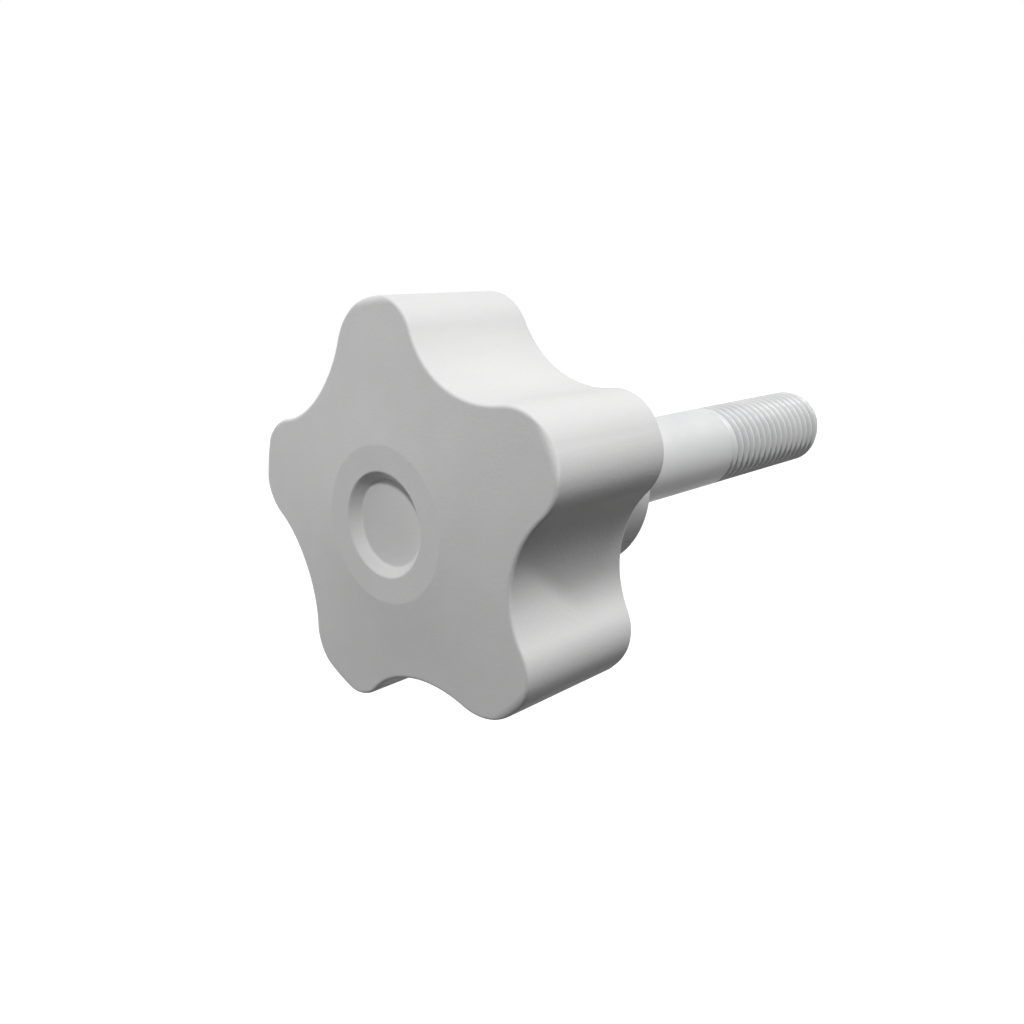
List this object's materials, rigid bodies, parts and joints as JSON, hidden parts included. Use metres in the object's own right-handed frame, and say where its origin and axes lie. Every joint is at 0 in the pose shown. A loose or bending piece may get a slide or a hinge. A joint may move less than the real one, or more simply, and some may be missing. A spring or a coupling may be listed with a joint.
{
  "type": "five-lobe clamping knob with stud",
  "caption": "Moulded lobed knob with a shallow coned face, a round hub and a moulded-in steel stud with a partly threaded end, for clamping by hand.",
  "frame": {"origin": "on the knob's axis, in the plane of the hub's rear face, where the clamped part seats", "axes": "+Y along the stud, away from the grip; the front face looks towards -Y; +Z through one lobe"},
  "size_m": [0.0484, 0.0945, 0.0466],
  "materials": {
    "grip_plastic": "light grey moulded plastic, fine matt texture",
    "stud_steel": "dull zinc-plated steel, fine turning marks"
  },
  "bodies": {
    "root": {"lobed_grip": "grip_plastic", "threaded_stud": "stud_steel"}
  },
  "joints": []
}
